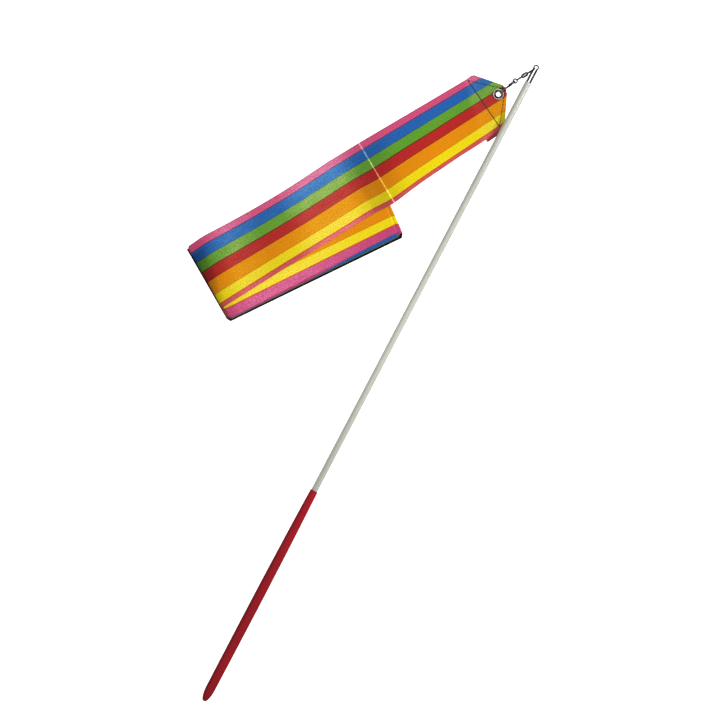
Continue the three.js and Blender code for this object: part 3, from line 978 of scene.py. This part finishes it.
def cut_side(thing, point, along, keep):
    """Cuts a sheet along a vertical plane and keeps the side where keep lies."""
    direction = Vector((along[0], along[1], 0.0)).normalized()
    normal = direction.cross(Vector((0, 0, 1)))
    origin = Vector((point[0], point[1], 0.0)) * MM
    if (Vector((keep[0], keep[1], 0.0)) * MM - origin).dot(normal) > 0:
        normal = -normal
    with edited(thing) as mesh:
        every = mesh.verts[:] + mesh.edges[:] + mesh.faces[:]
        bmesh.ops.bisect_plane(mesh, geom=every, plane_co=origin, plane_no=normal, clear_outer=True)


def punch_hole(thing):
    """Takes the cloth away inside the eyelet."""
    centre, radius = eyelet_centre.xy, CLOTH_HOLE * MM
    with edited(thing) as mesh:
        gone = [face for face in mesh.faces if (face.calc_center_median().xy - centre).length < radius]
        bmesh.ops.delete(mesh, geom=gone, context="FACES")


def crease_ridge(distance):
    """How far the cloth stands up near the crease."""
    return RIDGE_HEIGHT * math.exp(-abs(distance) / RIDGE_REACH)


def head_height(y):
    """Height of the ribbon's head: seated at the eyelet, low where it tucks under the rod."""
    dip = 0.75 * (1 - smoothstep(y, 1.5, 10.0))
    droop = 0.45 * smoothstep(y, 22.0, 38.0)
    return head_z - dip - droop


LEAD_FALL = (-0.1, 0.86)
FALL_START = smoothstep(0.0, *LEAD_FALL)


def lead_height(x, y):
    """Height of the lead, which comes down from the crease to the head."""
    t = (Vector((x, y)) - crease_middle).dot(lead_axis) / lead_length
    fall = (smoothstep(t, *LEAD_FALL) - FALL_START) / (1 - FALL_START)
    z = front_z + (head_z - front_z) * fall
    return z + (head_height(y) - head_z) * smoothstep(t, 0.55, 0.9)


def corner_recess(share):
    """How far back a sheet's end lies near one long edge, where its corner is round."""
    edge = share * RIBBON_WIDTH
    if edge >= CORNER_BEND:
        return 0.0
    return CORNER_BEND - math.sqrt(CORNER_BEND**2 - (CORNER_BEND - edge) ** 2)


def face_place(s, v):
    """The top strip from the left fold, s 0, past the crease, to beyond the head's point, s 1."""
    along = s * (front_length + lead_length + OVERRUN)
    if along <= front_length:
        set_back = corner_recess(v) * (1 - smoothstep(along, 0.0, RECESS_REACH))
        t = (along + set_back) / front_length
        far, near = fold_far.lerp(crease_far, t), fold_near.lerp(crease_near, t)
        across = (near - far).normalized()
        round_over = math.exp(-(((t - 0.09) / 0.08) ** 2))
        hollow = math.sin(math.pi * min(1.0, max(0.0, (t - 0.2) / 0.62)))
        far = far + across * (FRONT_HOLLOW * hollow - FRONT_BULGE * round_over)
        full = NEAR_FULLNESS * smoothstep(t, 0.3, 0.8)
        near = near + across * (full + (CREASE_OVERHANG - NEAR_FULLNESS) * smoothstep(t, 0.86, 1.0))
        point = far.lerp(near, v)
        swell = math.sin(math.pi * min(t, 1.0)) ** 0.6
        wave = 0.16 * math.sin(6.4 * t + 0.4) + 0.1 * math.sin(13.0 * t + 2.5 * v)
        z = front_z + 0.18 * swell + wave * swell + crease_ridge(front_length - along)
    else:
        t = (along - front_length) / lead_length
        far, near = crease_far.lerp(head_far, t), crease_near.lerp(seam_near, t)
        across = (near - far).normalized()
        calm = smoothstep(t, 0.0, 0.2) * (1 - smoothstep(t, 0.6, 0.8))
        bow = (CREASE_OVERHANG + (LEAD_OVERHANG - CREASE_OVERHANG) * smoothstep(t, 0.0, 0.35)) * v
        curl = max(0.0, LEAD_CURL - (1 - v) * RIBBON_WIDTH) * calm
        point = far.lerp(near, v) + across * (bow - 0.15 * curl)
        wave = 0.14 * math.sin(7.0 * t + 1.0 + 1.5 * v) * calm
        z = lead_height(point.x, point.y) + wave + crease_ridge(along - front_length) - 0.1 * curl * curl
    return point.x, point.y, z, along, v


def cut_head(thing, inset):
    """Cuts a sheet to the head's two slanting sides, moved in by an inset."""
    point = head_point + (seam_middle - head_point).normalized() * inset
    cut_side(thing, point, head_far - head_point, seam_middle)
    cut_side(thing, point, head_near - head_point, seam_middle)


def face_strip(materials):
    strip = cloth_grid("ribbon_face", 250, 44, face_place, materials["face"])
    cut_head(strip, -HEAD_MARGIN)
    punch_hole(strip)
    apply_modifiers(strip)
    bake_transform(strip)
    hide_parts("ribbon_head", "ribbon_lead", "ribbon_front")


def backing_flap(materials):
    """The end of the ribbon, folded back under the head and a little askew."""
    seam = (seam_far - seam_near).normalized()
    back = Vector((-seam.y, seam.x))
    if back.dot(crease_near - seam_near) < 0:
        back = -back
    reach = FLAP_REACH + SEAM_ALLOWANCE

    def place(s, v):
        far = seam_far + seam * 0.2 + back * SEAM_ALLOWANCE
        near = seam_near - seam * FLAP_OVERHANG + back * SEAM_ALLOWANCE
        point = far.lerp(near, v) - back * (s * reach)
        return point.x, point.y, lead_height(point.x, point.y) - FLAP_GAP, s * reach, v

    flap = cloth_grid("ribbon_flap", 44, 40, place, materials["under"])
    cut_head(flap, FLAP_INSET)
    punch_hole(flap)
    apply_modifiers(flap)
    finish_piece(flap, "ribbon_lead", "ribbon_head_backing")


def layer_inset(number, s):
    """How far a layer's near edge lies inside the stack's outline, s 0 at the left fold."""
    if number in LAYER_INSETS:
        left, right = LAYER_INSETS[number]
    else:
        left = PACK_STRAY_LEFT * (1 + math.sin(number * 2.1))
        right = PACK_STRAY_RIGHT * (1 + math.sin(number * 1.3 + 1.0))
    return left + (right - left) * s


def stack_point(number, s, v):
    """A point on a folded layer, and its share of the whole ribbon's width."""
    run = s * stack_length
    set_back = corner_recess(1 - v) * (1 - smoothstep(run, 0.0, RECESS_REACH))
    set_back -= corner_recess(1 - v) * smoothstep(run, stack_length - RECESS_REACH, stack_length)
    t = (run + set_back) / stack_length
    far = stack_far.lerp(turn_far, t)
    near = stack_near.lerp(turn_near, t)
    inset = layer_inset(number, s)
    near = near + (far - near).normalized() * inset
    return far.lerp(near, v), 1 - (1 - v) * (1 - inset / RIBBON_WIDTH)


def turn_reach(at_left, v):
    """How far the cloth stands out past the ends of the layers where it turns."""
    return TURN_BULGE if at_left else TURN_BULGE + TURN_SLACK * (1 + (TURN_FLARE - 1) * v)


def layer_sheet(number, z, body, material, node):
    """A flat folded layer; one of them shows a blue band along its near edge, widening towards the
    right.
    """

    def place(s, v):
        point, across = stack_point(number, s, v)
        lift = 0.05 * math.sin(9.0 * s + number * 1.7 + 2.0 * v) * math.sin(math.pi * s)
        from_edge = (1 - v) * RIBBON_WIDTH
        if number == BLUE_EDGE_LAYER and from_edge < EDGE_BAND:
            depth = BLUE_EDGE_DEPTH * smoothstep(s, 0.3, 1.0)
            across = BLUE_EDGE_SHARE + (depth - from_edge) / BLUE_EDGE_SPREAD
        return point.x, point.y, z + lift, s * front_length, across

    sheet = cloth_grid(f"ribbon_sheet_{number}", 60, 48, place, material)
    apply_modifiers(sheet)
    finish_piece(sheet, body, node)


def fold_turn(name, upper, levels, at_left, material):
    """The round turn of cloth that joins a layer to the next one down at a fold."""
    s = 0.0 if at_left else 1.0
    outward = -rightward if at_left else rightward
    z_upper, z_lower = levels
    radius = (z_upper - z_lower) / 2

    def edge(number, v):
        if number == 1:
            x, y, _, _, across = face_place(0.0, v)
            return Vector((x, y)), across
        return stack_point(number, s, v)

    def place(share, v):
        angle = math.pi * share
        first, across = edge(upper, v)
        second, _ = edge(upper + 1, v)
        point = first.lerp(second, share) + outward * (turn_reach(at_left, v) * math.sin(angle))
        z = (z_upper + z_lower) / 2 + radius * math.cos(angle)
        return point.x, point.y, z, 0.0 if at_left else front_length, across

    turn = cloth_grid(name, FOLD_STEPS, 24, place, material)
    apply_modifiers(turn)
    point = (edge(upper, 0.5)[0] + edge(upper + 1, 0.5)[0]) / 2
    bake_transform(turn)


def pack_sheet(materials):
    """All the lowest layers as one zigzag strip."""
    top = pack_top - PACK_CLOTH
    pitch = (top - (table_z + PACK_CLOTH)) / (PACK_LAYERS - 1)
    run_steps, turn_steps = 30, 6
    stations = []
    for layer in range(PACK_LAYERS):
        number = 5 + layer
        z = top - layer * pitch
        leftward = layer % 2 == 0
        for s in shares(run_steps):
            stations.append((number, 0.0, 1 - s if leftward else s, z, 0.0, leftward))
        if layer < PACK_LAYERS - 1:
            reach = (PACK_BULGE if leftward else PACK_TUCK) + 0.15 * math.sin(number * 3.7)
            for step in range(1, turn_steps):
                angle = math.pi * step / turn_steps
                z_turn = z - pitch / 2 + pitch / 2 * math.cos(angle)
                end = 0.0 if leftward else 1.0
                stations.append((number, step / turn_steps, end, z_turn, reach, leftward))

    def place(share, v):
        number, between, s, z, reach, leftward = stations[round(share * (len(stations) - 1))]
        point, across = stack_point(number, s, v)
        point = point.lerp(stack_point(number + 1, s, v)[0], between)
        bulge = (reach + (0.0 if leftward else turn_reach(False, v))) * math.sin(math.pi * between)
        point = point + (-rightward if leftward else rightward) * bulge
        return point.x, point.y, z, s * front_length, across

    pack = cloth_grid("ribbon_bundle", len(stations) - 1, 24, place, materials["pack"], PACK_CLOTH)
    apply_modifiers(pack)
    finish_piece(pack, "pack", "ribbon_pack")


def head_stitches(materials):
    """Short thread stitches along the triangle that closes the head."""
    corners = [Vector(point) for point in plan_corners("head_stitching")]
    far = max(corners, key=lambda point: point.y)
    near, tip = sorted([c for c in corners if c != far], key=lambda point: point.x)
    runs = [(far, near, 2.0, 0.15, 0.25), (far, tip, 1.9, 0.6, 0.23), (tip, near, 1.7, 0.7, 0.23)]
    stitches = []
    for start, end, length, gap, gauge in runs:
        span = (end - start).length
        count = int(span / (length + gap))
        pitch = span / count
        direction = (end - start).normalized()
        for index in range(count):
            first = start + direction * (index * pitch + gap / 2)
            path = []
            for t in shares(6):
                point = first + direction * (pitch - gap) * t
                arch = gauge * STITCH_ARCH * math.sin(math.pi * t) - STITCH_SINK
                height = lead_height(point.x, point.y) + CLOTH / 2 + arch
                path.append(Vector((point.x, point.y, height)) * MM)
            stitches.append(wire("stitch", path, gauge, materials["thread"], sides=8))
    thread = join("head_stitches", *stitches)
    finish_piece(thread, "ribbon_lead", "head_stitching")


def ribbon_pieces(materials):
    face_strip(materials)
    backing_flap(materials)
    pack_first = pack_top - PACK_CLOTH
    bodies = ["ribbon_front", "layer_2", "layer_3", "layer_4", "pack"]
    heights = [front_z, layer_z[2], layer_z[3], layer_z[4], pack_first]
    turn_cloths = ["face", "second", "fourth", "pack"]
    sheet_cloths = ["second", "third", "fourth"]
    for index, cloth in enumerate(turn_cloths):
        upper = index + 1
        if index > 0:
            sheet = materials[sheet_cloths[index - 1]]
            layer_sheet(upper, heights[index], bodies[index], sheet, f"ribbon_layer_{upper}")
        pair, levels = bodies[index : index + 2], heights[index : index + 2]
        fold_turn(f"ribbon_turn_{upper}", upper, levels, index % 2 == 0, materials[cloth])
    pack_sheet(materials)
    head_stitches(materials)


def make_materials():
    whole = front_length + lead_length + OVERRUN
    split = front_length / whole
    lead = lead_length / whole

    def front(stops):
        return [(at * split, value) for at, value in stops]

    def past(stops):
        return [(split + at * lead, value) for at, value in stops]

    # Painted shade along the top strip: dark at the left fold and on both sides of the crease, lighter
    # between.
    painted_shade = front([(0.0, 0.33), (0.035, 0.48), (0.06, 0.78), (0.14, 0.98), (0.25, 0.94), (0.35, 0.86)])
    painted_shade += front([(0.48, 0.9), (0.6, 1.0), (0.83, 1.0), (0.92, 0.77), (0.99, 0.7)])
    painted_shade += past([(0.0, 0.72), (0.07, 0.74), (0.2, 0.92), (0.55, 1.0), (0.9, 0.94), (1.0, 0.85)])
    # Painted sheen along the top strip: bands on the front and a patch at the head.
    painted_sheen = front([(0.0, 0.0), (0.06, 0.05), (0.17, 0.75), (0.25, 0.5), (0.36, 0.15), (0.48, 0.22)])
    painted_sheen += front([(0.62, 1.0), (0.8, 1.0), (0.925, 0.15), (1.0, 0.1)])
    painted_sheen += past([(0.06, 0.08), (0.3, 0.0), (0.86, 0.0), (0.91, 0.45), (1.0, 0.45)])
    # The second layer's painted shade, dark at its left fold, and its painted sheen.
    second_painted_shade = [(0.0, 0.62), (0.08, 0.95), (0.2, 1.04), (0.7, 1.0), (1.0, 0.96)]
    second_painted_sheen = [(0.0, 0.1), (0.15, 0.8), (0.5, 0.75), (0.8, 0.2), (1.0, 0.0)]
    # The lower layers are painted darker, and almost black at their left folds.
    inner_painted_shade = [(0.0, 0.08), (0.012, 0.1), (0.03, 0.8), (1.0, 0.8)]
    pack_painted_shade = [(0.0, 0.06), (0.012, 0.1), (0.03, 0.8), (1.0, 0.8)]
    # A weak painted sheen, the same all along.
    even = [(0.0, 0.1), (1.0, 0.1)]
    run = front_length / ALONG_UNIT
    marks = {"crease_at": run, "shadow_step_at": SHADOW_STEP_SHARE * run}
    return {
        "face": satin("satin_face", whole / ALONG_UNIT, painted_shade, painted_sheen, **marks),
        "second": satin("satin_second", run, second_painted_shade, second_painted_sheen, FOLDED_STRIPES),
        "third": satin("satin_third", run, inner_painted_shade, even, EDGE_STRIPES),
        "fourth": satin("satin_fourth", run, inner_painted_shade, even, INNER_STRIPES),
        # The flap under the head is painted darker all over.
        "under": satin("satin_under", run, [(0.0, 0.8), (1.0, 0.8)], even, FLAP_STRIPES),
        "pack": satin("satin_pack", run, pack_painted_shade, even, PACK_STRIPES),
        "nickel": polished_nickel("polished_nickel", WIRE_SHADES),
        "snap": polished_nickel("polished_snap", SNAP_SHADES),
        "barrel": polished_nickel("polished_barrel", BARREL_SHADES),
        "eyelet": polished_nickel("plated_eyelet", EYELET_SHADES),
        "fibreglass": fibreglass(),
        "grip": grip_vinyl(),
        "filler": resin_filler(),
        "thread": sewing_thread(),
    }


# --- stage: floor, lights, camera ---


def make_floor():
    """A white floor, dark only as the polished metal sees it."""
    material, nodes, shader = surface("floor_paper", Roughness=0.95)
    place = object_place(nodes)
    paths = nodes.new("ShaderNodeLightPath")
    tone = nodes.mix(nodes.noise(place, 3.0), grey(0.92), grey(0.96))
    colour = nodes.mix(paths.outputs["Is Glossy Ray"], tone, grey(0.03))
    glow = nodes.times_add(paths.outputs["Is Camera Ray"], 0.5, 0.1)
    nodes.paint(shader, Base_Color=colour, Emission_Color=grey(1.0), Emission_Strength=glow)
    half, z = FLOOR_SIZE / 2, -FLOOR_DROP
    corners = [(-half, -half, z), (half, -half, z), (half, half, z), (-half, half, z)]
    floor = new_object("floor", corners, [(0, 1, 2, 3)], material, smooth=False)


def area_light(name, location, target, size, power):
    light = bpy.data.lights.new(name, "AREA")
    light.shape = "RECTANGLE"
    light.size, light.size_y = size
    light.energy = power
    lamp = bpy.data.objects.new(name, light)
    bpy.context.scene.collection.objects.link(lamp)
    lamp.location = location
    lamp.rotation_mode = "QUATERNION"
    lamp.rotation_quaternion = (Vector(target) - Vector(location)).to_track_quat("-Z", "Y")


def make_world():
    world = bpy.data.worlds.new("studio")
    bpy.context.scene.world = world
    world.use_nodes = True
    nodes = Nodes(world.node_tree)
    background = world.node_tree.nodes["Background"]
    paths = nodes.new("ShaderNodeLightPath")
    place = nodes.new("ShaderNodeTexCoord").outputs["Generated"]
    height = nodes.times_add(nodes.split(place)[2], 0.5, 0.5)
    card = nodes.ramp(height, greys([(0.0, 0.02), (0.6, 0.03), (0.78, 0.2), (0.9, 1.0), (1.0, 1.0)]))
    colour = nodes.mix(paths.outputs["Is Glossy Ray"], grey(0.59), card)
    colour = nodes.mix(paths.outputs["Is Camera Ray"], colour, grey(1.0))
    nodes.link(colour, background.inputs["Color"])


def make_camera():
    data = bpy.data.cameras.new("camera")
    data.sensor_width = SENSOR
    data.lens = SENSOR * CAMERA_HEIGHT / FRAME_WIDTH
    data.clip_end = 100.0
    camera = bpy.data.objects.new("camera", data)
    bpy.context.scene.collection.objects.link(camera)
    up = Vector((*CAMERA_UP, 0.0)).normalized()
    back = Vector((0.0, 0.0, 1.0))
    right = up.cross(back)
    camera.matrix_world = Matrix.Translation((*CAMERA_CENTRE, CAMERA_HEIGHT)) @ Matrix(
        (right, up, back)
    ).transposed().to_4x4()
    bpy.context.scene.camera = camera


materials = make_materials()
wand_pieces(materials)
swivel_pieces(materials)
snap_pieces(materials)
eyelet_pieces(materials)
ribbon_pieces(materials)
make_floor()
make_world()
area_light("key", (1.15, -1.35, 1.1), (0.3, 0.05, 0.0), (0.9, 0.6), 25.0)
area_light("fill", (-0.3, 1.2, 1.5), (0.3, 0.05, 0.0), (1.4, 1.0), 4.0)
make_camera()
bpy.context.scene.view_settings.view_transform = "Standard"
